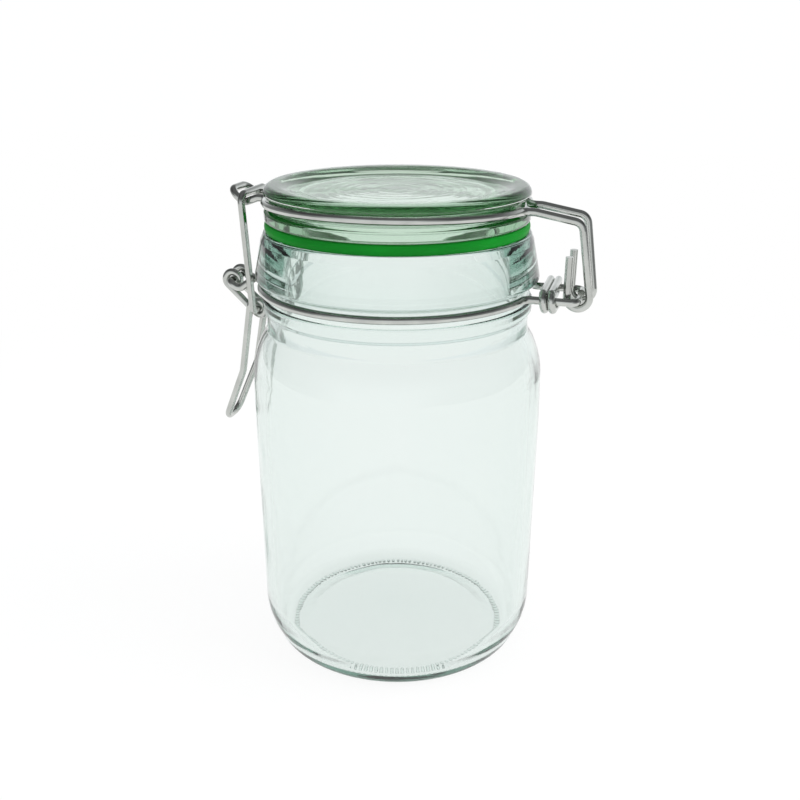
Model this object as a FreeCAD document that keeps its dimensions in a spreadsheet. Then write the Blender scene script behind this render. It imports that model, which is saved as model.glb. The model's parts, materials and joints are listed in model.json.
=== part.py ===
"""Clip-top glass jar of one litre, closed and latched.

The jar, its lid and the rubber ring between them are turned shapes. Two bent wires run round the
glass: the lid wire, which ends in hooks at the hinge and in a nose at the latch, and the neck wire,
which ends in hinge pins and in a nose that carries the latch lever. A link joins the lever to the
lid's nose, and a tie wire is wound round the two hinge arms.

Frame: Z is the jar's axis and points up, Z = 0 is the surface that it stands on, the hinge lies
towards +X and the latch towards -X. Lengths are in millimetres.
"""
import FreeCAD, Part
import math
import os
import Sketcher

# Driving sizes: name, value, what it is.
SIZES = [
    ("body_diameter", 105.0, "outside of the straight wall"),
    ("jar_height", 159.1, "from the standing surface to the lip"),
    ("shoulder_inset", 11.0, "from the straight wall in to the edge of the mouth"),
    ("wall", 3.6, "glass of the straight wall"),
    ("neck_wall", 4.9, "glass at the waist of the neck"),
    ("floor_thickness", 5.0, "glass over the standing ring"),
    ("push_up", 2.6, "height of the hollow under the floor"),
    ("push_up_edge", 6.3, "from the outside of the standing ring in to the hollow"),
    ("standing_width", 4.0, "width of the standing ring"),
    ("heel_inset", 9.8, "from the straight wall in to the standing ring"),
    ("heel_toe", 4.5, "from the standing ring out to the corner of the heel"),
    ("heel_rise", 13.0, "height where the heel meets the straight wall"),
    ("heel_tight", 7.0, "lower radius of the heel"),
    ("heel_wide", 25.0, "upper radius of the heel"),
    ("inner_heel", 10.0, "inside radius between wall and floor"),
    ("taper_drop", 61.0, "from the lip down to where the wall starts to draw in"),
    ("taper_radius", 120.0, "radius where the wall starts to draw in"),
    ("shoulder_drop", 42.4, "from the lip down to the corner of the shoulder"),
    ("shoulder_draw", 1.4, "how far the wall has drawn in at the shoulder"),
    ("shoulder_radius", 10.0, "outer radius of the shoulder"),
    ("waist_drop", 33.8, "from the lip down to the waist of the neck"),
    ("waist_radius", 3.0, "hollow radius at the waist"),
    ("bead_reach", 1.2, "how far the ring under the neck wire stands out"),
    ("bead_width", 3.8, "height of the ring under the neck wire"),
    ("collar_drop", 15.9, "from the lip down to the underside of the collar"),
    ("collar_reach", 3.6, "how far the collar stands out from the waist"),
    ("collar_draw", 2.8, "how far the collar draws in towards the lip"),
    ("collar_edge", 1.3, "radius on the lower edge of the collar"),
    ("lip_shoulder", 3.0, "height of the rounded top of the collar"),
    ("lip_land", 3.6, "flat top of the lip"),
    ("lip_edge", 1.2, "radius inside the mouth"),
    ("inner_shoulder_drop", 45.5, "from the lip down to where the inside draws in"),
    ("inner_neck_drop", 31.5, "from the lip down to the inside of the neck"),
    ("inner_radius", 14.0, "inside radius of the shoulder"),
    ("gasket_gap", 0.1, "between the rubber ring and the glass beside it"),
    ("gasket_thickness", 3.3, "pressed rubber ring"),
    ("gasket_width", 6.8, "from the inside to the outside of the rubber ring"),
    ("gasket_edge", 0.8, "radius on the outer edges of the rubber ring"),
    ("lid_seat", 4.1, "how far the lid reaches out past the mouth"),
    ("lid_thickness", 11.9, "from the rubber ring to the top of the lid"),
    ("lid_edge", 1.3, "radius under the lid's outer edge"),
    ("lid_bead", 2.6, "radius on top of the lid's outer edge"),
    ("lid_rim", 5.2, "width of the raised rim on the lid"),
    ("lid_slope", 2.6, "width of the slope inside the raised rim"),
    ("lid_recess", 2.4, "how far the middle of the lid lies below its rim"),
    ("lid_soft", 2.2, "radius where the slope meets the rim and the middle"),
    ("lid_crown", 0.8, "how far the middle of the lid rises"),
    ("plug_gap", 2.7, "between the lid's plug and the mouth"),
    ("plug_depth", 4.6, "how far the plug reaches below the lid's seat"),
    ("plug_width", 6.0, "width of the plug's foot"),
    ("plug_taper", 1.2, "how far the plug draws in"),
    ("plug_edge", 1.0, "radius on the plug's foot"),
    ("lid_glass", 5.2, "glass in the middle of the lid"),
    ("groove_rise", 6.8, "from the lid's seat up to the middle of its groove"),
    ("strand_drop", 1.3, "from the middle of the groove down to the strands of the lid wire"),
    ("ring_rise", 1.8, "how far the lid wire rises from its strands to the sides of the lid"),
    ("groove_slack", 0.9, "room under the wire in the lid's groove"),
    ("groove_flare", 3.3, "how far the groove's upper side rises past the lid's edge"),
    ("groove_fall", 1.9, "how far the groove's lower side drops past the lid's edge"),
    ("groove_over", 2.3, "how far past the wire's centre the groove is cut"),
    ("groove_reach", 0.5, "from the centre of the lid's wire out to the lid's edge"),
    ("wire", 2.6, "diameter of the latch and hinge wires"),
    ("tie_wire", 2.6, "diameter of the tie wire"),
    ("seat_gap", 0.1, "between a wire and the glass that it lies against"),
    ("turn_gap", 0.15, "between a wire and the wire bent round it"),
    ("ring_drop", 3.4, "from the underside of the collar down to the neck wire"),
    ("ring_bend", 3.0, "radius where a wire leaves its ring"),
    ("arm_reach", 17.8, "from the waist out to the hinge pins"),
    ("arm_half", 9.6, "from the middle to a hinge arm"),
    ("pin_half", 3.9, "from the middle to the end of a hinge pin"),
    ("pin_bend", 2.4, "radius between arm and hinge pin"),
    ("hook_half", 5.8, "from the middle to a hook of the lid wire"),
    ("hook_radius", 3.7, "radius of the hooks"),
    ("hook_stub", 13.3, "straight end of a hook"),
    ("strand_half", 7.0, "from the middle to a strand of the lid wire"),
    ("nose_half", 7.6, "from the middle to a strand of the neck wire's nose"),
    ("knee_reach", 0.2, "from the hinge pins in to the knee of the lid wire"),
    ("knee_rise", 25.5, "from the hinge pins up to the knee of the lid wire"),
    ("knee_radius", 3.5, "radius of the knee"),
    ("lead_out", 1.6, "level stretch of a strand beside its ring"),
    ("lead_radius", 6.0, "radius where a strand leaves the level"),
    ("lid_crook_reach", 7.6, "from the mouth out past the wall of the neck to the lid's crook"),
    ("lid_crook_drop", 1.9, "from the lid wire down to its crook"),
    ("lid_tip_reach", 4.9, "from the lid's crook out to the tip of the nose"),
    ("lid_tip_rise", 4.2, "from the lid's crook up to the tip of the nose"),
    ("lid_nose_bend", 3.9, "radius at the corners of the lid wire's nose"),
    ("neck_nose_bend", 2.4, "radius at the corners of the neck wire's nose"),
    ("neck_crook_reach", 11.2, "from the waist out to the neck wire's crook"),
    ("neck_crook_drop", 4.5, "from the neck wire down to its crook"),
    ("neck_tip_reach", 4.2, "from the neck wire's crook out to the tip of the nose"),
    ("neck_tip_rise", 2.3, "from the neck wire's crook up to the tip of the nose"),
    ("crank_back", 10.4, "from the lever's pivot in to its coils"),
    ("crank_drop", 9.3, "from the lever's pivot down to its coils"),
    ("eye_half", 3.8, "from the middle to an eye of the lever"),
    ("eye_wrap", 250.0, "degrees that an eye goes round the nose"),
    ("coil_half", 4.6, "from the middle to the inner turn of a coil"),
    ("leg_half", 7.4, "from the middle to the top of a leg"),
    ("handle_gap", 6.4, "from the straight wall out to the handle's bend"),
    ("handle_bend_drop", 55.5, "from the lip down to the handle's bend"),
    ("handle_bend_radius", 9.0, "radius of the handle's bend"),
    ("handle_bend_half", 6.6, "from the middle to a leg at the handle's bend"),
    ("handle_kick", 9.0, "how far the handle's end stands out past its bend"),
    ("handle_end_drop", 76.0, "from the lip down to the handle's end"),
    ("handle_end_half", 5.2, "half the width of the handle's end"),
    ("handle_end_radius", 4.0, "radius at the corners of the handle's end"),
    ("link_side_gap", 0.4, "between the neck wire's nose and a side of the link"),
    ("link_foot", 2.6, "from the middle to the end of a foot of the link"),
    ("link_foot_bend", 2.0, "radius between a side and a foot of the link"),
    ("link_bar_bend", 3.0, "radius between a side and the bar of the link"),
    ("tie_start", 5.2, "from the waist out past the neck wire's ring to the tie"),
    ("tie_turns", 2.0, "turns of the tie"),
]

# Sizes that follow from the driving ones: name, sum of the sizes before it.
PLACES = [
    ("body_radius", "=Sizes.body_diameter / 2"),
    ("mouth_radius", "=body_radius - Sizes.shoulder_inset"),
    ("neck_radius", "=mouth_radius + Sizes.neck_wall"),
    ("wire_radius", "=Sizes.wire / 2"),
    ("standing_radius", "=body_radius - Sizes.heel_inset"),
    ("collar_radius", "=neck_radius + Sizes.collar_reach"),
    ("collar_z", "=Sizes.jar_height - Sizes.collar_drop"),
    ("ring_z", "=collar_z - Sizes.ring_drop"),
    ("ring_radius", "=neck_radius + Sizes.seat_gap + wire_radius"),
    ("bead_z", "=ring_z - wire_radius - Sizes.seat_gap - Sizes.bead_width"),
    ("plug_radius", "=mouth_radius - Sizes.plug_gap"),
    ("gasket_inner", "=plug_radius + Sizes.gasket_gap"),
    ("gasket_z", "=Sizes.jar_height + Sizes.gasket_gap"),
    ("seat_z", "=gasket_z + Sizes.gasket_thickness"),
    ("lid_radius", "=mouth_radius + Sizes.lid_seat"),
    ("lid_z", "=seat_z + Sizes.lid_thickness"),
    ("groove_z", "=seat_z + Sizes.groove_rise"),
    ("strand_z", "=groove_z - Sizes.strand_drop"),
    ("lid_ring_radius", "=lid_radius - Sizes.groove_reach"),
    ("groove_radius", "=lid_ring_radius - wire_radius - Sizes.seat_gap - Sizes.seat_gap"),
    ("pin_x", "=neck_radius + Sizes.arm_reach"),
    ("turn_radius", "=Sizes.wire + Sizes.turn_gap"),
    ("link_half", "=Sizes.nose_half + Sizes.wire + Sizes.link_side_gap"),
]

REVOLVED = 360


def fill_sheet(document, label, rows):
    """A spreadsheet with a name, a cell and, where there is one, a note in each row."""
    sheet = document.addObject("Spreadsheet::Sheet", label)
    for number, row in enumerate(rows, start=1):
        sheet.set(f"A{number}", row[0])
        sheet.set(f"B{number}", str(row[1]))
        sheet.setAlias(f"B{number}", row[0])
        if len(row) > 2:
            sheet.set(f"C{number}", row[2])
    document.recompute()
    return sheet


doc = FreeCAD.newDocument("ClipTopJar")
sizes = fill_sheet(doc, "Sizes", SIZES)
places = fill_sheet(doc, "Places", PLACES)
SIZE_NAMES = {row[0] for row in SIZES}


def size(name):
    """The number in a cell of either sheet."""
    sheet = sizes if name in SIZE_NAMES else places
    return float(sheet.get(name))


def words(terms):
    """A sum such as "body_radius - wall" as pairs of sign and name."""
    sign = 1
    for word in terms.split():
        if word in "+-":
            sign = 1 if word == "+" else -1
        else:
            yield sign, word
            sign = 1


def amount(terms):
    """The sum as a number."""
    return sum(sign * size(name) for sign, name in words(terms))


def formula(terms):
    """The sum as an expression on the sheets' cells."""
    parts = []
    for sign, name in words(terms):
        owner = "Sizes" if name in SIZE_NAMES else "Places"
        parts.append(f"{'+' if sign > 0 else '-'} {owner}.{name}")
    return " ".join(parts).removeprefix("+ ")


# ---------------------------------------------------------------- turned pieces


def new_sketch(body, name):
    """A sketch on the body's own XZ plane: across is the radius, up is the height."""
    sketch = body.newObject("Sketcher::SketchObject", name)
    planes = [plane for plane in body.Origin.OriginFeatures if plane.Role == "XZ_Plane"]
    sketch.AttachmentSupport = (planes[0], "")
    sketch.MapMode = "FlatFace"
    return sketch


def bind(sketch, constraint, terms):
    """Adds a dimension and ties it to the sheets."""
    index = sketch.addConstraint(constraint)
    sketch.setExpression(f"Constraints[{index}]", formula(terms))


def place_point(sketch, geometry, end, radius, height):
    """Fixes a point of the sketch at a radius and a height; None is the axis or the base plane."""
    if radius is None:
        sketch.addConstraint(Sketcher.Constraint("PointOnObject", geometry, end, -2))
    else:
        bind(sketch, Sketcher.Constraint("DistanceX", -1, 1, geometry, end, amount(radius)), radius)
    if height is None:
        sketch.addConstraint(Sketcher.Constraint("PointOnObject", geometry, end, -1))
    else:
        bind(sketch, Sketcher.Constraint("DistanceY", -1, 1, geometry, end, amount(height)), height)


def draw_outline(sketch, corners):
    """A closed outline through corners of (radius, height, rounding), the last two kept as sums.

    A rounded corner keeps its sharp point as a construction point on both of its lines.
    """
    spots = [
        FreeCAD.Vector(amount(radius) if radius else 0, amount(height) if height else 0, 0)
        for radius, height, rounding in corners
    ]
    count = len(corners)
    ways = [(spots[(i + 1) % count] - spots[i]).normalize() for i in range(count)]
    turns, trims = [], []
    for i, (radius, height, rounding) in enumerate(corners):
        before, after = ways[i - 1], ways[i]
        turn = math.atan2(before.x * after.y - before.y * after.x, before.dot(after))
        turns.append(turn)
        trims.append(size(rounding) * math.tan(abs(turn) / 2) if rounding else 0)
    lines = []
    for i in range(count):
        start = spots[i] + ways[i] * trims[i]
        end = spots[(i + 1) % count] - ways[i] * trims[(i + 1) % count]
        lines.append(sketch.addGeometry(Part.LineSegment(start, end), False))
    for i, (radius, height, rounding) in enumerate(corners):
        before, after = lines[i - 1], lines[i]
        if not rounding:
            sketch.addConstraint(Sketcher.Constraint("Coincident", before, 2, after, 1))
            place_point(sketch, after, 1, radius, height)
            continue
        side = 1 if turns[i] > 0 else -1
        first = spots[i] - ways[i - 1] * trims[i]
        inward = FreeCAD.Vector(-ways[i - 1].y, ways[i - 1].x, 0) * side
        centre = first + inward * size(rounding)
        begin = math.atan2(-inward.y, -inward.x)
        angles = (begin, begin + turns[i]) if side > 0 else (begin + turns[i], begin)
        circle = Part.Circle(centre, FreeCAD.Vector(0, 0, 1), size(rounding))
        arc = sketch.addGeometry(Part.ArcOfCircle(circle, *angles), False)
        near, far = (1, 2) if side > 0 else (2, 1)
        sketch.addConstraint(Sketcher.Constraint("Tangent", before, 2, arc, near))
        sketch.addConstraint(Sketcher.Constraint("Tangent", arc, far, after, 1))
        corner = sketch.addGeometry(Part.Point(spots[i]), True)
        sketch.addConstraint(Sketcher.Constraint("PointOnObject", corner, 1, before))
        sketch.addConstraint(Sketcher.Constraint("PointOnObject", corner, 1, after))
        place_point(sketch, corner, 1, radius, height)
        bind(sketch, Sketcher.Constraint("Radius", arc, size(rounding)), rounding)


def turn_body(label, name, corners):
    """A body made by turning an outline about the jar's axis."""
    body = doc.addObject("PartDesign::Body", label)
    body.Label = label
    sketch = new_sketch(body, f"{name}Outline")
    draw_outline(sketch, corners)
    turned = body.newObject("PartDesign::Revolution", f"{name}Turned")
    turned.Profile = sketch
    turned.ReferenceAxis = (sketch, ["V_Axis"])
    turned.Angle = REVOLVED
    doc.recompute()
    return body


def cut_groove(body, name, corners):
    """A groove turned out of a body, checked by the volume that it takes away."""
    whole = body.Shape.Volume
    sketch = new_sketch(body, f"{name}Outline")
    draw_outline(sketch, corners)
    groove = body.newObject("PartDesign::Groove", name)
    groove.Profile = sketch
    groove.ReferenceAxis = (sketch, ["V_Axis"])
    groove.Angle = REVOLVED
    doc.recompute()
    if body.Shape.Volume > whole - 1:
        raise RuntimeError(f"{name} takes nothing away")


def make_jar():
    """The jar: heel, straight wall, shoulder, waist, wire ring, collar and lip in one wall of glass."""
    corners = [
        (None, "push_up", None),
        ("standing_radius - push_up_edge", "push_up", "plug_edge"),
        ("standing_radius - standing_width", None, "plug_edge"),
        ("standing_radius + heel_toe", None, "heel_tight"),
        ("body_radius", "heel_rise", "heel_wide"),
        ("body_radius", "jar_height - taper_drop", "taper_radius"),
        ("body_radius - shoulder_draw", "jar_height - shoulder_drop", "shoulder_radius"),
        ("neck_radius", "jar_height - waist_drop", "waist_radius"),
        ("neck_radius", "bead_z - bead_reach", None),
        ("neck_radius + bead_reach", "bead_z", "plug_edge"),
        ("neck_radius + bead_reach", "bead_z + bead_width", "gasket_edge"),
        ("neck_radius", "bead_z + bead_width", None),
        ("neck_radius", "collar_z - bead_reach", "gasket_edge"),
        ("collar_radius", "collar_z", "collar_edge"),
        ("collar_radius - collar_draw", "jar_height - lip_shoulder", "lid_edge"),
        ("mouth_radius + lip_edge + lip_land", "jar_height", "lip_edge"),
        ("mouth_radius", "jar_height", "lip_edge"),
        ("mouth_radius", "jar_height - inner_neck_drop", "inner_radius"),
        ("body_radius - wall", "jar_height - inner_shoulder_drop", "inner_radius"),
        ("body_radius - wall", "floor_thickness", "inner_heel"),
        (None, "floor_thickness + push_up", None),
    ]
    return turn_body("jar", "Jar", corners)


def make_gasket():
    """The rubber ring, pressed flat between the lid's seat and the lip."""
    outer = "gasket_inner + gasket_width"
    corners = [
        ("gasket_inner", "gasket_z", None),
        (outer, "gasket_z", "gasket_edge"),
        (outer, "seat_z", "gasket_edge"),
        ("gasket_inner", "seat_z", None),
    ]
    return turn_body("gasket", "Gasket", corners)


def make_lid():
    """The lid: a plug that drops into the mouth, a flat seat, and a raised rim round a recess."""
    corners = [
        (None, "lid_z - lid_recess + lid_crown - lid_glass", None),
        ("plug_radius - plug_width - plug_taper", "lid_z - lid_recess - lid_glass", "lid_soft"),
        ("plug_radius - plug_width", "seat_z - plug_depth", "plug_edge"),
        ("plug_radius - plug_taper", "seat_z - plug_depth", "plug_edge"),
        ("plug_radius", "seat_z", None),
        ("lid_radius", "seat_z", "lid_edge"),
        ("lid_radius", "lid_z", "lid_bead"),
        ("lid_radius - lid_rim", "lid_z", "lid_soft"),
        ("lid_radius - lid_rim - lid_slope", "lid_z - lid_recess", "lid_soft"),
        (None, "lid_z - lid_recess + lid_crown", None),
    ]
    body = turn_body("lid", "Lid", corners)
    low = "groove_z - wire_radius - groove_slack"
    high = "groove_z + wire_radius"
    past_edge = "lid_ring_radius + groove_over"
    cut_groove(body, "WireGroove", [
        (past_edge, f"{low} - groove_fall", None),
        (past_edge, f"{high} + groove_flare", None),
        ("groove_radius", high, "wire_radius"),
        ("groove_radius", low, "wire_radius"),
    ])
    return body


# ---------------------------------------------------------------- bent wires


def at(x, y, z, bend=0.0):
    """A point of a wire's route, with the radius that the wire is bent to there."""
    return FreeCAD.Vector(x, y, z), bend


def bent(route):
    """Straight runs through the route's points, joined by an arc at each point between its ends."""
    edges = []
    start = route[0][0]
    for i in range(1, len(route) - 1):
        spot, radius = route[i]
        before = (spot - route[i - 1][0]).normalize()
        after = (route[i + 1][0] - spot).normalize()
        half_turn = before.getAngle(after) / 2
        reach = radius * math.tan(half_turn)
        first, last = spot - before * reach, spot + after * reach
        inward = (after - before).normalize()
        middle = spot + inward * (radius / math.cos(half_turn) - radius)
        if (first - start).Length > 1e-4:
            edges.append(Part.makeLine(start, first))
        edges.append(Part.Arc(first, middle, last).toShape())
        start = last
    edges.append(Part.makeLine(start, route[-1][0]))
    return edges


def around(centre, radius, first, last, axial_first, axial_last):
    """Points of (across, up, axial, bend) that take a wire round a centre, from one angle to another.

    The angles are in degrees, and a last angle below the first goes clockwise. The points are the
    corners of the tangents, each turning by at most a quarter. The bends are a little tighter than
    the circle, so that a short straight run is left between two of them.
    """
    count = math.ceil(abs(last - first) / 90 - 1e-6)
    step = math.radians(last - first) / count
    points = []
    for i in range(count):
        angle = math.radians(first) + step * (i + 0.5)
        reach = radius / math.cos(step / 2)
        share = i / (count - 1)
        axial = axial_first + (axial_last - axial_first) * share
        points.append(
            (centre[0] + reach * math.cos(angle), centre[1] + reach * math.sin(angle), axial, radius * 0.96)
        )
    return points


def tangent_angle(centre, radius, point, sense, leaving):
    """The angle, in degrees, where a straight run between a circle and a point touches the circle.

    sense is 1 for a wire that goes round counterclockwise and -1 for clockwise.
    """
    across, up = point[0] - centre[0], point[1] - centre[1]
    off = math.acos(radius / math.hypot(across, up))
    side = -sense if leaving else sense
    return math.degrees(math.atan2(up, across) + side * off)


def ring_exit(radius, half):
    """Where a strand at a distance half from the middle leaves a ring, in the ring's plane.

    Gives the x of the strand's end, and the bend's middle and end on the ring.
    """
    bend = size("ring_bend")
    centre_y = half + bend
    centre_x = math.sqrt((radius + bend) ** 2 - centre_y**2)
    towards = math.atan2(centre_y, centre_x)
    on_ring = (radius * math.cos(towards), radius * math.sin(towards))
    halfway = (-math.pi / 2 + towards + math.pi) / 2
    middle = (centre_x + bend * math.cos(halfway - math.pi), centre_y + bend * math.sin(halfway - math.pi))
    return centre_x, middle, on_ring


def ring_half(radius, height, hinge_half, latch_half, rise=0.0):
    """The half of a ring at +Y, with a bend out to its strand at each end, from hinge to latch.

    The height is that of the hinge's strand, and the half rises to its middle.
    """
    hinge_x, hinge_middle, hinge_on = ring_exit(radius, hinge_half)
    latch_x, latch_middle, latch_on = ring_exit(radius, latch_half)
    spots = [
        [(hinge_x, hinge_half), hinge_middle, hinge_on],
        [hinge_on, (0, radius), (-latch_on[0], latch_on[1])],
        [(-latch_on[0], latch_on[1]), (-latch_middle[0], latch_middle[1]), (-latch_x, latch_half)],
    ]
    origin, along = FreeCAD.Vector(0, hinge_half, height), FreeCAD.Vector(1, 0, 0)
    tilt = math.degrees(math.asin(rise / (radius - hinge_half)))
    edges = []
    for arc in spots:
        edge = Part.Arc(*[FreeCAD.Vector(x, y, height) for x, y in arc]).toShape()
        edges.append(edge.rotate(origin, along, tilt))
    return edges, hinge_x, latch_x


def add_wire(label, edges, diameter, both_halves=True):
    """A round wire swept along its route; a half route is completed by its mirror image."""
    if both_halves:
        origin, across = FreeCAD.Vector(0, 0, 0), FreeCAD.Vector(0, 1, 0)
        edges = edges + [edge.mirror(origin, across) for edge in reversed(edges)]
    route = Part.Wire(Part.__sortEdges__(edges))
    path = doc.addObject("Part::Feature", f"{label}_route")
    path.Shape = route
    start = route.OrderedEdges[0]
    begin = route.OrderedVertexes[0].Point
    way = start.tangentAt(start.FirstParameter)
    section = doc.addObject("Part::Circle", f"{label}_section")
    section.setExpression("Radius", f"Sizes.{diameter} / 2")
    section.Placement = FreeCAD.Placement(begin, FreeCAD.Rotation(FreeCAD.Vector(0, 0, 1), way))
    sweep = doc.addObject("Part::Sweep", label)
    sweep.Label = label
    sweep.Sections = [section]
    sweep.Spine = (path, [f"Edge{i + 1}" for i in range(len(route.Edges))])
    sweep.Solid = True
    sweep.Frenet = False
    doc.recompute()
    area = math.pi * (size(diameter) / 2) ** 2
    share = sweep.Shape.Volume / (area * route.Length)
    print(f"{label}: route {route.Length:.1f} mm, volume {share:.4f} of section times length")
    return sweep


def crook_centre(inner, crook, tip, radius):
    """The centre of the bend at a crook, from the points before it, at it and after it."""
    back = math.atan2(inner[1] - crook[1], inner[0] - crook[0])
    on = math.atan2(tip[1] - crook[1], tip[0] - crook[0])
    half = abs(back - on) / 2
    middle = (back + on) / 2
    reach = radius / math.sin(half)
    return crook[0] + reach * math.cos(middle), crook[1] + reach * math.sin(middle)


def out(point, y, bend=0.0):
    """A point on the latch's side, from its distance out and its height."""
    return at(-point[0], y, point[1], bend)


class Latch:
    """Places that the two noses, the lever and the link share, as distances out and heights."""

    neck_level = (ring_exit(size("ring_radius"), size("nose_half"))[0] + size("lead_out"), size("ring_z"))
    neck_crook = (size("neck_radius") + size("neck_crook_reach"), size("ring_z") - size("neck_crook_drop"))
    pivot = (neck_crook[0] + size("neck_tip_reach"), neck_crook[1] + size("neck_tip_rise"))
    lid_level = (
        ring_exit(size("lid_ring_radius"), size("strand_half"))[0] + size("lead_out"),
        size("strand_z"),
    )
    lid_crook = (size("neck_radius") + size("lid_crook_reach"), size("strand_z") - size("lid_crook_drop"))
    lid_tip = (lid_crook[0] + size("lid_tip_reach"), lid_crook[1] + size("lid_tip_rise"))
    bar = crook_centre(lid_level, lid_crook, lid_tip, size("turn_radius"))
    coil = (pivot[0] - size("crank_back"), pivot[1] - size("crank_drop"))


def nose_route(half, latch_x, level, crook, tip, corner):
    """From the end of a ring's bend out to the middle of the nose's tip, on the +Y side."""
    return [
        out((latch_x, level[1]), half),
        out(level, half, size("lead_radius") / 2),
        out(crook, half, size("turn_radius")),
        out(tip, half, corner),
        out(tip, 0),
    ]


def make_neck_wire():
    """The neck wire: hinge pins, arms, the ring under the collar, and the nose that holds the lever."""
    half, level = size("arm_half"), size("ring_z")
    nose_half = size("nose_half")
    ring, hinge_x, latch_x = ring_half(size("ring_radius"), level, half, nose_half)
    arm = bent([
        at(size("pin_x"), size("pin_half"), level),
        at(size("pin_x"), half, level, size("pin_bend")),
        at(hinge_x, half, level),
    ])
    corner = size("neck_nose_bend")
    nose = bent(nose_route(nose_half, latch_x, Latch.neck_level, Latch.neck_crook, Latch.pivot, corner))
    return add_wire("neck_wire", arm + ring + nose, "wire")


def make_lid_wire():
    """The lid wire: hooks round the hinge pins, knees, the ring in the lid's groove, and its nose."""
    half, level = size("strand_half"), size("strand_z")
    rise = size("ring_rise")
    ring, hinge_x, latch_x = ring_half(size("lid_ring_radius"), level, half, half, rise)
    radius = size("hook_radius")
    hook = (size("pin_x"), size("ring_z") - size("turn_radius") + radius)
    knee = (size("pin_x") - size("knee_reach"), size("ring_z") + size("knee_rise"))
    last = tangent_angle(hook, radius, knee, 1, leaving=True) + REVOLVED
    turn = around(hook, radius, 180, last, size("hook_half"), size("hook_half"))
    hinge = bent(
        [at(hook[0] - radius, size("hook_half"), hook[1] + size("hook_stub"))]
        + [at(across, axial, up, bend) for across, up, axial, bend in turn]
        + [
            at(knee[0], half, knee[1], size("knee_radius")),
            at(hinge_x + size("lead_out"), half, level, size("lead_radius")),
            at(hinge_x, half, level),
        ]
    )
    corner = size("lid_nose_bend")
    nose = bent(nose_route(half, latch_x, Latch.lid_level, Latch.lid_crook, Latch.lid_tip, corner))
    return add_wire("lid_wire", hinge + ring + nose, "wire")


def make_lever():
    """The lever: an eye round the neck wire's nose, a coil that carries the link, and the handle."""
    radius = size("turn_radius")
    bend_point = (
        size("body_radius") + size("handle_gap"),
        size("jar_height") - size("handle_bend_drop"),
    )
    end_point = (
        bend_point[0] + size("handle_kick"),
        size("jar_height") - size("handle_end_drop"),
    )
    downhill = math.degrees(math.atan2(-size("crank_drop"), -size("crank_back"))) + 90
    eye = around(Latch.pivot, radius, downhill + size("eye_wrap"), downhill, size("eye_half"), size("eye_half"))
    leave = tangent_angle(Latch.coil, radius, bend_point, -1, leaving=True)
    coil = around(Latch.coil, radius, downhill, leave - REVOLVED, size("coil_half"), size("leg_half"))
    first_angle = math.radians(downhill + size("eye_wrap"))
    cut_end = (
        Latch.pivot[0] + radius * math.cos(first_angle),
        Latch.pivot[1] + radius * math.sin(first_angle),
    )
    route = (
        [out(cut_end, size("eye_half"))]
        + [out((across, up), axial, bend) for across, up, axial, bend in eye + coil]
        + [
            out(bend_point, size("handle_bend_half"), size("handle_bend_radius")),
            out(end_point, size("handle_end_half"), size("handle_end_radius")),
            out(end_point, 0),
        ]
    )
    return add_wire("lever", bent(route), "wire")


def make_link():
    """The link: a foot through each coil of the lever, two sides, and the bar that holds the lid down."""
    route = [
        out(Latch.coil, size("link_foot")),
        out(Latch.coil, size("link_half"), size("link_foot_bend")),
        out(Latch.bar, size("link_half"), size("link_bar_bend")),
        out(Latch.bar, 0),
    ]
    return add_wire("link", bent(route), "wire")


def make_tie():
    """The tie: a thinner wire wound round both hinge arms, close to the ring."""
    radius = size("wire_radius") + size("seat_gap") + size("tie_wire") / 2
    level, half = size("ring_z"), size("arm_half")
    start = size("neck_radius") + size("tie_start")
    pitch = size("tie_wire") + size("seat_gap")
    route = [at(start, 0, level - radius)]
    for turn in range(round(size("tie_turns"))):
        left = start + pitch * turn
        for share, centre, first in ((0.0, half, -90), (0.5, -half, 90)):
            begin = left + pitch * (share + 0.1)
            end = left + pitch * (share + 0.4)
            points = around((centre, level), radius, first, first + 180, begin, end)
            route += [at(axial, across, up, bend) for across, up, axial, bend in points]
    route.append(at(start + pitch * size("tie_turns"), 0, level - radius))
    return add_wire("tie", bent(route), "tie_wire", both_halves=False)


def check_and_write(pieces):
    """Stops if anything failed, and otherwise writes each piece to its own file."""
    doc.recompute()
    for item in doc.Objects:
        if {"Invalid", "Error"} & set(item.State):
            raise RuntimeError(f"{item.Label} failed: {item.State}")
    for piece in pieces:
        shape = piece.Shape
        if shape.isNull() or not shape.isValid() or len(shape.Solids) != 1:
            raise RuntimeError(f"{piece.Label} is not one valid solid")
    os.makedirs("parts", exist_ok=True)
    for piece in pieces:
        piece.Shape.exportStep(f"parts/{piece.Label}.step")
        print(f"{piece.Label}: {piece.Shape.Volume / 1000:.2f} cm3")


check_and_write([
    make_jar(),
    make_gasket(),
    make_lid(),
    make_neck_wire(),
    make_lid_wire(),
    make_lever(),
    make_link(),
    make_tie(),
])
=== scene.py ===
"""The looks of a clip-top glass jar: pressed glass, a green rubber ring and bright bent wire.

Outlines and the camera's place are written in millimetres, all else in metres. Every piece stays
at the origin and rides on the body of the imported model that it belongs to.
"""

import json
import math

import bmesh
import bpy
from mathutils import Matrix, Vector

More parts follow.
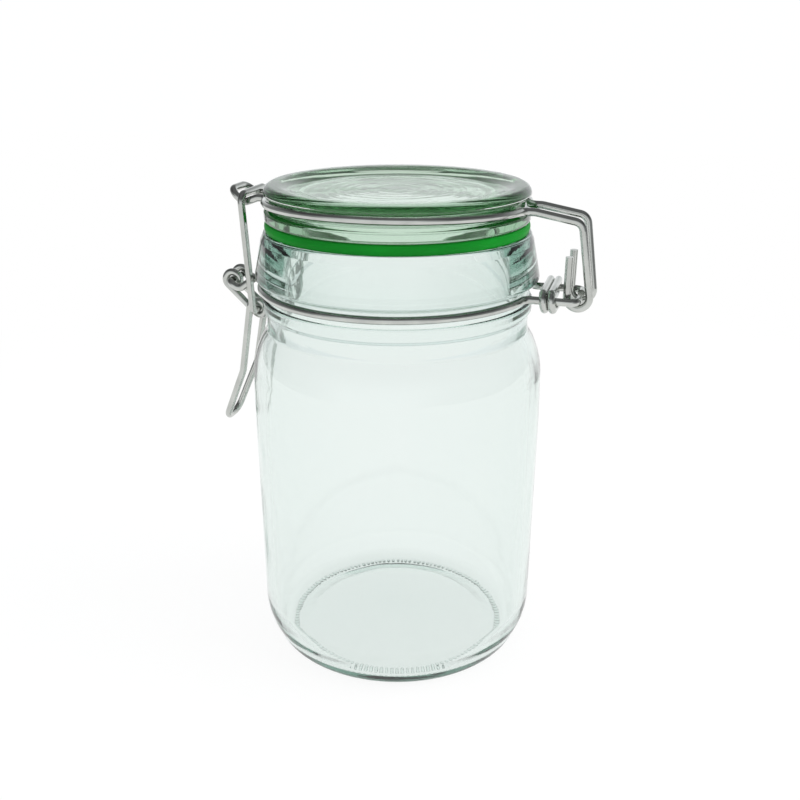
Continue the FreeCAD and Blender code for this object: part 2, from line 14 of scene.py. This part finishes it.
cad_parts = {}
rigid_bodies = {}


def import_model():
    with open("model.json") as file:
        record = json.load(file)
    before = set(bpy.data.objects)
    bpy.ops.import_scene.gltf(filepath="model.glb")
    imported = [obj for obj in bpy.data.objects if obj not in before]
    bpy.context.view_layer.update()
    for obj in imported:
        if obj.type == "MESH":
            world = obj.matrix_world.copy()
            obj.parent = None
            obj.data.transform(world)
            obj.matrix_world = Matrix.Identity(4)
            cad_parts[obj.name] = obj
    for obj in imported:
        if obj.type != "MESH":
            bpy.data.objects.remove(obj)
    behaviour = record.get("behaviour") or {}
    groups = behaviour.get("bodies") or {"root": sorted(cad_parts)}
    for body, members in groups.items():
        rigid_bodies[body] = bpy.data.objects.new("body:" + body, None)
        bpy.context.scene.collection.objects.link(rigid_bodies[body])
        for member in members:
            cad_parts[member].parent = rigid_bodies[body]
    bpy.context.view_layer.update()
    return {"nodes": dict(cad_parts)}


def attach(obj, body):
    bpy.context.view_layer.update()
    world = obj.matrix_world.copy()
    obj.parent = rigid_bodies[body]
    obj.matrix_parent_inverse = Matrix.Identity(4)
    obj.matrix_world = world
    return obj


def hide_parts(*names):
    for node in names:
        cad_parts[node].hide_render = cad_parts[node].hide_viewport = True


bl_info = {
    "name": "Clip-top jar",
    "version": (1, 0, 0),
    "blender": (4, 5, 0),
    "location": "View3D > Sidebar > Jar",
    "description": "Dresses the packed clip-top jar with glass, rubber and wire",
    "category": "Add Mesh",
}

for startup in list(bpy.data.objects):
    bpy.data.objects.remove(startup)
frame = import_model()

MM = 0.001
ARC_STEPS = 14
SHARP_ANGLE = math.radians(38)
MERGE_DISTANCE = 1e-7

# The moulded dots: one dot's faces, its stretch along, across and up, how far their sizes vary,
# and how many times as strongly as the jar they take colour.
DOT_SEGMENTS, DOT_RINGS = 14, 8
DOT_STRETCH = (1.7, 0.85, 0.6)
SMALLEST_DOT, LARGEST_DOT = 0.85, 1.0
DOT_SEED = 3
DOT_COLOUR_SHARE = 5

# Nearly all of a noise lies between these two values.
NOISE_LOW, NOISE_HIGH = 0.3, 0.7

# The floor, and how far from the jar its shadow starts and ends to fade.
FLOOR_REACH = 1.6
FLOOR_DROP = 0.0001
FADE_START, FADE_END = 0.12, 0.5

# The studio, as the wire mirrors it and as it is seen through the glass. Each row says at which
# height or sideways reach of a direction the brightness starts and stops changing, and how bright
# it is at these two.
WIRE_CEILING = (0.18, 0.6, 1.0, 0.16)
WIRE_SIDES = (0.45, 0.85, 1.0, 0.28)
GLASS_CEILING = (0.3, 0.9, 1.0, 0.5)
GLASS_LEFT = (-0.95, -0.15, 0.8, 1.0)
SOFT_LIGHT = 0.72
BACKDROP_LIGHT = 1.04

# Each soft lamp's name, place, size and power in watts, and the point that both look at.
PANELS = (
    ("KeyPanel", (1.0, 0.1, 0.5), (1.0, 1.1), 9.0),
    ("FillPanel", (-0.8, -0.6, 0.6), (0.8, 1.0), 1.5),
)
PANEL_AIM = (0, 0, 0.09)

CAMERA_DISTANCE = 344.0
CAMERA_HEIGHT = 226.0
CAMERA_TURN = math.radians(16.5)
CAMERA_TILT = math.radians(64.82)
LENS, SENSOR = 44.26, 36
SHIFT_ACROSS, SHIFT_UP = 0.0034, 0.095
CLIP_NEAR, CLIP_FAR = 0.02, 20


class JarSettings(bpy.types.PropertyGroup):
    """What can be chosen about the jar's looks."""

    segments: bpy.props.IntProperty(
        name="Segments", description="Faces round each turned piece",
        default=192, min=48, max=512)
    dots: bpy.props.IntProperty(
        name="Dots", description="Moulded dots under the jar", default=132, min=12, max=400)
    dot_ring: bpy.props.FloatProperty(
        name="Dot ring", description="Radius of the ring of dots, in metres",
        default=0.0413, min=0.03, max=0.045, subtype="DISTANCE")
    dot_radius: bpy.props.FloatProperty(
        name="Dot size", description="Radius of a dot, in metres",
        default=0.00085, min=0.0002, max=0.002, subtype="DISTANCE")
    jar_glass: bpy.props.FloatVectorProperty(
        name="Jar glass", description="What the jar's glass lets through",
        default=(0.32, 0.57, 0.48), size=3, min=0, max=1, subtype="COLOR")
    jar_depth: bpy.props.FloatProperty(
        name="Jar depth", description="How strongly the jar's glass takes colour",
        default=33.0, min=0, max=200)
    lid_glass: bpy.props.FloatVectorProperty(
        name="Lid glass", description="What the lid's glass lets through",
        default=(0.28, 0.60, 0.32), size=3, min=0, max=1, subtype="COLOR")
    lid_depth: bpy.props.FloatProperty(
        name="Lid depth", description="How strongly the lid's glass takes colour",
        default=44.0, min=0, max=200)
    lid_rings: bpy.props.FloatProperty(
        name="Lid rings", description="How strongly the rings of the mould show in the lid",
        default=0.5, min=0, max=2)
    rubber: bpy.props.FloatVectorProperty(
        name="Rubber", description="Colour of the rubber ring",
        default=(0.005, 0.24, 0.018), size=3, min=0, max=1, subtype="COLOR")
    wire: bpy.props.FloatVectorProperty(
        name="Wire", description="Colour of the bright wire",
        default=(0.55, 0.565, 0.54), size=3, min=0, max=1, subtype="COLOR")


# ---------------------------------------------------------------- nodes


def feed(tree, socket, value):
    """Gives an input socket its value, or a link if the value is another socket."""
    if isinstance(value, bpy.types.NodeSocket):
        tree.links.new(value, socket)
    else:
        socket.default_value = value


def fill(tree, node, **values):
    """Feeds a node's input sockets by name, written with _ for a space."""
    for name, value in values.items():
        feed(tree, node.inputs[name.replace("_", " ")], value)
    return node


def add(tree, kind, **values):
    """A new node in a tree, with some of its input sockets fed."""
    return fill(tree, tree.nodes.new(kind), **values)


def calculate(tree, operation, *values):
    """The result of a Math node on numbers and sockets."""
    node = tree.nodes.new("ShaderNodeMath")
    node.operation = operation
    for socket, value in zip(node.inputs, values):
        feed(tree, socket, value)
    return node.outputs["Value"]


def length_of(tree, vector):
    """The length of a vector socket."""
    node = tree.nodes.new("ShaderNodeVectorMath")
    node.operation = "LENGTH"
    tree.links.new(vector, node.inputs[0])
    return node.outputs["Value"]


def map_range(tree, value, from_low, from_high, low, high):
    """A value carried from one range to another, and kept inside it."""
    spread = add(
        tree, "ShaderNodeMapRange",
        Value=value, From_Min=from_low, From_Max=from_high, To_Min=low, To_Max=high)
    return spread.outputs["Result"]


def vary(tree, noise, low, high):
    """A value that runs from low to high with a noise."""
    return map_range(tree, noise, NOISE_LOW, NOISE_HIGH, low, high)


def vary_colour(tree, noise, low, high):
    """A colour that runs from low to high with a noise."""
    node = add(tree, "ShaderNodeValToRGB", Fac=noise)
    first, last = node.color_ramp.elements
    first.position, first.color = NOISE_LOW, low
    last.position, last.color = NOISE_HIGH, high
    return node.outputs["Color"]


def blend_values(tree, factor, low, high):
    """A value between two others, each of them a number or a socket."""
    return add(tree, "ShaderNodeMix", Factor=factor, A=low, B=high).outputs["Result"]


def mix_shaders(tree, factor, first, second):
    """One shader where the factor is zero, and another where it is one."""
    mix = add(tree, "ShaderNodeMixShader", Fac=factor)
    tree.links.new(first, mix.inputs[1])
    tree.links.new(second, mix.inputs[2])
    return mix.outputs["Shader"]


def object_place(tree):
    """Where a point lies on its own piece."""
    return tree.nodes.new("ShaderNodeTexCoord").outputs["Object"]


def noise_at(tree, place, scale, detail):
    """Noise at a place."""
    node = add(tree, "ShaderNodeTexNoise", Vector=place, Scale=scale, Detail=detail)
    return node.outputs["Fac"]


def object_noise(tree, scale, detail, stretch=(1, 1, 1)):
    """Noise that lies on the piece, stretched along the axes."""
    stretched = add(tree, "ShaderNodeMapping", Vector=object_place(tree), Scale=stretch)
    return noise_at(tree, stretched.outputs["Vector"], scale, detail)


def ring_noise(tree, scale, detail):
    """Noise that is the same all the way round, as the marks of a turned mould are."""
    parts = add(tree, "ShaderNodeSeparateXYZ", Vector=object_place(tree)).outputs
    flat = add(tree, "ShaderNodeCombineXYZ", X=parts["X"], Y=parts["Y"])
    from_axis = length_of(tree, flat.outputs["Vector"])
    turned = add(tree, "ShaderNodeCombineXYZ", X=from_axis, Y=parts["Z"])
    return noise_at(tree, turned.outputs["Vector"], scale, detail)


def seen_rays(tree, *names):
    """One where a ray is of one of the named kinds, and zero elsewhere."""
    path = tree.nodes.new("ShaderNodeLightPath").outputs
    seen = path[names[0]]
    for name in names[1:]:
        seen = calculate(tree, "MAXIMUM", seen, path[name])
    return seen


def bump(tree, height, strength, distance):
    """The slant of a surface that has a relief of some height."""
    relief = add(tree, "ShaderNodeBump", Height=height, Strength=strength, Distance=distance)
    return relief.outputs["Normal"]


# ---------------------------------------------------------------- materials


def new_material(name):
    """A material, its tree and its shader."""
    material = bpy.data.materials.new(name)
    material.use_nodes = True
    tree = material.node_tree
    return material, tree, tree.nodes["Principled BSDF"]


def shade(colour, share):
    """A colour made darker or lighter by a share, with full cover."""
    return tuple(min(1.0, part * share) for part in colour) + (1,)


def glass_material(name, colour_through, depth, rings=0.0):
    """Pressed glass that takes colour from the light by the length of its way through it.

    Its surface has slow waves and fine drawn lines, and the rings of the mould where they show.
    """
    material, tree, shader = new_material(name)
    tint = add(tree, "ShaderNodeVolumeAbsorption", Color=(*colour_through, 1), Density=depth)
    fill(tree, tree.nodes["Material Output"], Volume=tint.outputs["Volume"])
    waves = object_noise(tree, scale=38.0, detail=2.0, stretch=(1, 1, 0.45))
    lines = object_noise(tree, scale=160.0, detail=3.0, stretch=(1, 1, 0.2))
    line_height = 0.12
    relief = calculate(tree, "MULTIPLY_ADD", lines, line_height, waves)
    if rings:
        mould = ring_noise(tree, scale=320.0, detail=1.0)
        relief = calculate(tree, "MULTIPLY_ADD", mould, rings, relief)
    fill(
        tree, shader,
        Base_Color=vary_colour(tree, waves, (0.984, 0.994, 0.990, 1), (0.992, 0.998, 0.995, 1)),
        Roughness=vary(tree, lines, 0.01, 0.04),
        IOR=1.5,
        Transmission_Weight=1.0,
        Normal=bump(tree, relief, strength=0.22, distance=0.0012),
    )
    return material


def rubber_material(colour):
    """Moulded rubber with a fine grain and a faint bloom."""
    material, tree, shader = new_material("GreenRubber")
    bloom = object_noise(tree, scale=60.0, detail=4.0)
    grain = object_noise(tree, scale=1400.0, detail=3.0)
    fill(
        tree, shader,
        Base_Color=vary_colour(tree, bloom, shade(colour, 0.86), shade(colour, 1.12)),
        Roughness=vary(tree, bloom, 0.45, 0.6),
        Specular_IOR_Level=0.1,
        Subsurface_Weight=0.35,
        Subsurface_Radius=(0.001, 0.003, 0.001),
        Normal=bump(tree, grain, strength=0.25, distance=0.0001),
    )
    return material


def wire_material(colour):
    """Bright drawn wire: fine scratches, small dull patches and a pale plating."""
    material, tree, shader = new_material("BrightWire")
    patches = object_noise(tree, scale=120.0, detail=4.0)
    scratches = object_noise(tree, scale=900.0, detail=5.0)
    fill(
        tree, shader,
        Base_Color=vary_colour(tree, patches, shade(colour, 0.86), shade(colour, 1.1)),
        Metallic=1.0,
        Roughness=vary(tree, scratches, 0.10, 0.2),
        Normal=bump(tree, scratches, strength=0.1, distance=0.00005),
    )
    return material


def floor_material():
    """A floor that shows plain white to the camera and in the glass, and keeps its shadow."""
    material, tree, shader = new_material("WhiteFloor")
    fill(
        tree, shader,
        Base_Color=(0.93, 0.94, 0.935, 1), Roughness=0.85, Specular_IOR_Level=0.1)
    matt = add(tree, "ShaderNodeBsdfDiffuse", Color=(0.12, 0.121, 0.12, 1))
    glow = add(tree, "ShaderNodeEmission", Strength=0.905)
    plain = add(tree, "ShaderNodeEmission", Strength=1.0)
    shaded = tree.nodes.new("ShaderNodeAddShader")
    tree.links.new(matt.outputs["BSDF"], shaded.inputs[0])
    tree.links.new(glow.outputs["Emission"], shaded.inputs[1])
    away = length_of(tree, object_place(tree))
    far = map_range(tree, away, FADE_START, FADE_END, 0.0, 1.0)
    shown = mix_shaders(tree, far, shaded.outputs["Shader"], plain.outputs["Emission"])
    seen = seen_rays(tree, "Is Camera Ray", "Is Glossy Ray", "Is Transmission Ray")
    surface = mix_shaders(tree, seen, shader.outputs["BSDF"], shown)
    fill(tree, tree.nodes["Material Output"], Surface=surface)
    return material


# ---------------------------------------------------------------- shapes


def finish_mesh(bm, name, material):
    """Turns a bmesh into an object in the scene, its faces outward and its sharp edges kept."""
    bmesh.ops.remove_doubles(bm, verts=bm.verts, dist=MERGE_DISTANCE)
    bmesh.ops.recalc_face_normals(bm, faces=bm.faces)
    for face in bm.faces:
        face.smooth = True
    for edge in bm.edges:
        edge.smooth = len(edge.link_faces) != 2 or edge.calc_face_angle() < SHARP_ANGLE
    mesh = bpy.data.meshes.new(name)
    bm.to_mesh(mesh)
    bm.free()
    mesh.materials.append(material)
    piece = bpy.data.objects.new(name, mesh)
    bpy.context.scene.collection.objects.link(piece)
    return piece


def rounded(corners):
    """The points of an outline of (across, up, rounding), each corner replaced by its arc."""
    spots = [Vector(corner[:2]) for corner in corners]
    points = []
    for i, spot in enumerate(spots):
        rounding = corners[i][2]
        if not rounding:
            points.append(spot)
            continue
        before = (spots[i - 1] - spot).normalized()
        after = (spots[(i + 1) % len(spots)] - spot).normalized()
        half = before.angle(after) / 2
        reach = rounding / math.tan(half)
        centre = spot + (before + after).normalized() * (rounding / math.sin(half))
        first, last = spot + before * reach, spot + after * reach
        from_angle = math.atan2(first.y - centre.y, first.x - centre.x)
        to_angle = math.atan2(last.y - centre.y, last.x - centre.x)
        turn = (to_angle - from_angle + math.pi) % (2 * math.pi) - math.pi
        for step in range(ARC_STEPS + 1):
            angle = from_angle + turn * step / ARC_STEPS
            points.append(centre + Vector((math.cos(angle), math.sin(angle))) * rounding)
    return points


def lathe(name, corners, material, segments):
    """A closed solid turned about Z from a closed outline in millimetres."""
    bm = bmesh.new()
    rings = []
    angles = [2 * math.pi * i / segments for i in range(segments)]
    for point in rounded(corners):
        radius, height = point.x * MM, point.y * MM
        if radius < MERGE_DISTANCE:
            rings.append([bm.verts.new((0, 0, height))])
            continue
        rings.append([
            bm.verts.new((radius * math.cos(angle), radius * math.sin(angle), height))
            for angle in angles
        ])
    for here, there in zip(rings, rings[1:] + rings[:1]):
        if len(here) == len(there) == 1:
            continue
        for i in range(segments):
            j = (i + 1) % segments
            around = (
                here[i % len(here)], here[j % len(here)],
                there[j % len(there)], there[i % len(there)],
            )
            bm.faces.new(list(dict.fromkeys(around)))
    return finish_mesh(bm, name, material)


def jar_corners():
    """The outline of the jar's glass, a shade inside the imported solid, lifted over the dots."""
    return [
        (0, 2.1, 0), (33.8, 1.4, 12.0), (39.4, 0.5, 10.0), (47.2, 0.45, 7.0),
        (52.48, 13, 25), (52.48, 94, 400), (51.95, 116.3, 30),
        (46.4, 125.3, 3), (46.4, 131.2, 1.0), (47.6, 132.6, 1.0), (47.6, 136.4, 0.8),
        (46.4, 136.6, 0.1), (46.4, 142.0, 0.8), (49.95, 143.2, 1.3), (47.2, 156.1, 1.6),
        (46.0, 159.05, 1.2), (41.5, 159.05, 1.2),
        (41.5, 127.6, 12), (48.5, 115.4, 26), (48.9, 94, 400), (48.9, 14.3, 22),
        (44.8, 4.8, 4.5), (30, 5.6, 30), (0, 7.0, 0),
    ]


def lid_corners():
    """The outline of the lid's glass: plug, seat, wire groove, broad raised bead and recess."""
    return [
        (0, 167.6, 0), (31.6, 166.8, 2.2), (32.8, 157.95, 1.2), (37.6, 157.95, 1.2),
        (38.75, 162.55, 0.3), (45.55, 162.55, 1.1), (45.58, 166.0, 0.9),
        (43.55, 167.0, 1.0), (43.55, 170.4, 1.0), (45.58, 171.0, 1.2),
        (45.4, 174.35, 2.7), (40.4, 174.35, 8.0), (32.0, 172.3, 9.0), (0, 172.9, 0),
    ]


def gasket_corners():
    """The outline of the rubber ring: pressed between lid and lip, its outer edge swollen."""
    return [
        (38.92, 159.22, 0), (41.9, 159.16, 0.5), (43.0, 158.99, 0.3), (45.2, 159.0, 0.8),
        (45.68, 160.85, 2.2), (45.2, 162.46, 0.8), (43.6, 162.6, 0.5), (40.6, 162.6, 0.5),
        (38.92, 162.46, 0),
    ]


def dot_tree(settings, material):
    """The tree that sets dots round a ring, and what each of its inputs is given."""
    tree = bpy.data.node_groups.new("DotRing", "GeometryNodeTree")
    tree.interface.new_socket("Geometry", in_out="OUTPUT", socket_type="NodeSocketGeometry")
    values = {}
    for name, kind, value in (
        ("Dots", "NodeSocketInt", settings.dots),
        ("Ring radius", "NodeSocketFloat", settings.dot_ring),
        ("Dot radius", "NodeSocketFloat", settings.dot_radius),
        ("Seed", "NodeSocketInt", DOT_SEED),
        ("Glass", "NodeSocketMaterial", material),
    ):
        socket = tree.interface.new_socket(name, in_out="INPUT", socket_type=kind)
        values[socket.identifier] = value

    given = tree.nodes.new("NodeGroupInput").outputs
    ring = add(
        tree, "GeometryNodeMeshCircle",
        Vertices=given["Dots"], Radius=given["Ring radius"])
    ball = add(
        tree, "GeometryNodeMeshUVSphere",
        Segments=DOT_SEGMENTS, Rings=DOT_RINGS, Radius=given["Dot radius"])
    smooth = add(tree, "GeometryNodeSetShadeSmooth", Geometry=ball.outputs["Mesh"])
    dot = add(
        tree, "GeometryNodeTransform",
        Geometry=smooth.outputs["Geometry"], Scale=DOT_STRETCH)
    # The plain numbers' limits are the third and fourth of this node's inputs.
    sizes = add(tree, "FunctionNodeRandomValue", Seed=given["Seed"])
    sizes.inputs[2].default_value = SMALLEST_DOT
    sizes.inputs[3].default_value = LARGEST_DOT
    outward = tree.nodes.new("GeometryNodeInputNormal")
    facing = add(tree, "FunctionNodeAlignEulerToVector", Vector=outward.outputs["Normal"])
    instances = add(
        tree, "GeometryNodeInstanceOnPoints",
        Points=ring.outputs["Mesh"], Instance=dot.outputs["Geometry"],
        Rotation=facing.outputs["Rotation"], Scale=sizes.outputs[1])
    real = add(
        tree, "GeometryNodeRealizeInstances", Geometry=instances.outputs["Instances"])
    paint = add(
        tree, "GeometryNodeSetMaterial",
        Geometry=real.outputs["Geometry"], Material=given["Glass"])
    add(tree, "NodeGroupOutput", Geometry=paint.outputs["Geometry"])
    return tree, values


def dot_ring(material, settings):
    """The ring of moulded dots under the jar, kept as a plain mesh that stands on the floor."""
    tree, values = dot_tree(settings, material)
    ring = bpy.data.objects.new("DotRing", bpy.data.meshes.new("DotRing"))
    bpy.context.scene.collection.objects.link(ring)
    modifier = ring.modifiers.new("Dots", "NODES")
    modifier.node_group = tree
    for identifier, value in values.items():
        modifier[identifier] = value
    bpy.context.view_layer.update()
    evaluated = ring.evaluated_get(bpy.context.evaluated_depsgraph_get())
    mesh = bpy.data.meshes.new_from_object(evaluated)
    ring.modifiers.clear()
    mesh.transform(Matrix.Translation((0, 0, DOT_STRETCH[2] * settings.dot_radius)))
    ring.data = mesh
    return ring


# ---------------------------------------------------------------- stage


def make_floor():
    """A plain floor under the jar."""
    bm = bmesh.new()
    bmesh.ops.create_grid(bm, x_segments=8, y_segments=8, size=FLOOR_REACH)
    floor = finish_mesh(bm, "Floor", floor_material())
    floor.location.z = -FLOOR_DROP


def make_world(scene):
    """Soft light from all round: white to the camera, and a studio in the wire and the glass."""
    world = bpy.data.worlds.new("Studio")
    scene.world = world
    world.use_nodes = True
    tree = world.node_tree
    place = tree.nodes.new("ShaderNodeTexCoord").outputs["Generated"]
    parts = add(tree, "ShaderNodeSeparateXYZ", Vector=place).outputs
    across, up = parts["X"], parts["Z"]
    aside = calculate(tree, "ABSOLUTE", across)
    in_wire = calculate(
        tree, "MULTIPLY",
        map_range(tree, up, *WIRE_CEILING), map_range(tree, aside, *WIRE_SIDES))
    in_glass = calculate(
        tree, "MULTIPLY",
        map_range(tree, up, *GLASS_CEILING), map_range(tree, across, *GLASS_LEFT))
    level = blend_values(tree, seen_rays(tree, "Is Glossy Ray"), SOFT_LIGHT, in_wire)
    level = blend_values(tree, seen_rays(tree, "Is Transmission Ray"), level, in_glass)
    level = blend_values(tree, seen_rays(tree, "Is Camera Ray"), level, BACKDROP_LIGHT)
    fill(tree, tree.nodes["Background"], Color=(0.96, 0.985, 1.0, 1), Strength=level)


def make_panel(name, place, size, power):
    """A rectangular soft light that looks at the jar, and isn't mirrored in it."""
    light = bpy.data.lights.new(name, "AREA")
    light.shape = "RECTANGLE"
    light.size, light.size_y = size
    light.energy = power
    lamp = bpy.data.objects.new(name, light)
    bpy.context.scene.collection.objects.link(lamp)
    lamp.location = place
    aim = Vector(PANEL_AIM) - Vector(place)
    lamp.rotation_euler = aim.to_track_quat("-Z", "Y").to_euler()
    lamp.visible_glossy = False
    lamp.visible_transmission = False


def make_camera(scene):
    """The camera, in front of the jar, a little to its hinge side, looking down from above."""
    data = bpy.data.cameras.new("Camera")
    camera = bpy.data.objects.new("Camera", data)
    scene.collection.objects.link(camera)
    place = Vector((math.sin(CAMERA_TURN), -math.cos(CAMERA_TURN), 0)) * CAMERA_DISTANCE
    place.z = CAMERA_HEIGHT
    camera.location = place * MM
    camera.rotation_euler = (CAMERA_TILT, 0, CAMERA_TURN)
    data.lens = LENS
    data.sensor_width = SENSOR
    data.shift_x = SHIFT_ACROSS
    data.shift_y = SHIFT_UP
    data.clip_start = CLIP_NEAR
    data.clip_end = CLIP_FAR
    scene.camera = camera


# ---------------------------------------------------------------- operators


class JAR_OT_body(bpy.types.Operator):
    """Builds the jar's glass, with the ring of moulded dots that it stands on"""

    bl_idname = "jar.body"
    bl_label = "Jar"
    bl_options = {"REGISTER", "UNDO"}

    def execute(self, context):
        settings = context.scene.jar_settings
        glass = glass_material("JarGlass", settings.jar_glass, settings.jar_depth)
        jar = lathe("JarGlass", jar_corners(), glass, settings.segments)
        stippled = glass_material(
            "DotGlass", settings.jar_glass, settings.jar_depth * DOT_COLOUR_SHARE)
        dots = dot_ring(stippled, settings)
        for piece in (jar, dots):
            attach(piece, "jar_body")
        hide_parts("jar")
        return {"FINISHED"}


class JAR_OT_lid(bpy.types.Operator):
    """Builds the lid's glass"""

    bl_idname = "jar.lid"
    bl_label = "Lid"
    bl_options = {"REGISTER", "UNDO"}

    def execute(self, context):
        settings = context.scene.jar_settings
        glass = glass_material(
            "LidGlass", settings.lid_glass, settings.lid_depth, settings.lid_rings)
        lid = lathe("LidGlass", lid_corners(), glass, settings.segments)
        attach(lid, "lid_body")
        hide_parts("lid")
        return {"FINISHED"}


class JAR_OT_gasket(bpy.types.Operator):
    """Builds the rubber ring"""

    bl_idname = "jar.gasket"
    bl_label = "Rubber ring"
    bl_options = {"REGISTER", "UNDO"}

    def execute(self, context):
        settings = context.scene.jar_settings
        rubber = rubber_material(settings.rubber)
        ring = lathe("RubberRing", gasket_corners(), rubber, settings.segments)
        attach(ring, "lid_body")
        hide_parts("gasket")
        return {"FINISHED"}


class JAR_OT_wires(bpy.types.Operator):
    """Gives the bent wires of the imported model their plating"""

    bl_idname = "jar.wires"
    bl_label = "Wires"
    bl_options = {"REGISTER", "UNDO"}

    def execute(self, context):
        wire = wire_material(context.scene.jar_settings.wire)
        for node in ("neck_wire", "lid_wire", "tie", "lever", "link"):
            part = frame["nodes"][node]
            for slot in part.material_slots:
                slot.material = wire
            for face in part.data.polygons:
                face.use_smooth = True
        return {"FINISHED"}


class JAR_OT_stage(bpy.types.Operator):
    """Sets up the floor, the soft lights, the white surroundings and the camera"""

    bl_idname = "jar.stage"
    bl_label = "Stage"
    bl_options = {"REGISTER", "UNDO"}

    def execute(self, context):
        scene = context.scene
        scene.view_settings.view_transform = "Standard"
        scene.cycles.max_bounces = 32
        scene.cycles.glossy_bounces = 16
        scene.cycles.transmission_bounces = 24
        make_floor()
        make_world(scene)
        for panel in PANELS:
            make_panel(*panel)
        make_camera(scene)
        return {"FINISHED"}


class JAR_PT_panel(bpy.types.Panel):
    """The sidebar panel with the jar's settings and pieces"""

    bl_label = "Clip-top jar"
    bl_idname = "JAR_PT_panel"
    bl_space_type = "VIEW_3D"
    bl_region_type = "UI"
    bl_category = "Jar"

    def draw(self, context):
        settings = context.scene.jar_settings
        for name in JarSettings.__annotations__:
            self.layout.prop(settings, name)
        for kind in PIECES:
            self.layout.operator(kind.bl_idname)


PIECES = (JAR_OT_body, JAR_OT_lid, JAR_OT_gasket, JAR_OT_wires, JAR_OT_stage)
CLASSES = (JarSettings, *PIECES, JAR_PT_panel)


def register():
    """Makes the settings, the operators and the panel known to Blender."""
    for kind in CLASSES:
        bpy.utils.register_class(kind)
    bpy.types.Scene.jar_settings = bpy.props.PointerProperty(type=JarSettings)


def unregister():
    """Takes them away again."""
    del bpy.types.Scene.jar_settings
    for kind in reversed(CLASSES):
        bpy.utils.unregister_class(kind)


def main():
    """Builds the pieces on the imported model."""
    register()
    bpy.ops.jar.body()
    bpy.ops.jar.lid()
    bpy.ops.jar.gasket()
    bpy.ops.jar.wires()
    bpy.ops.jar.stage()


if __name__ == "__main__":
    main()
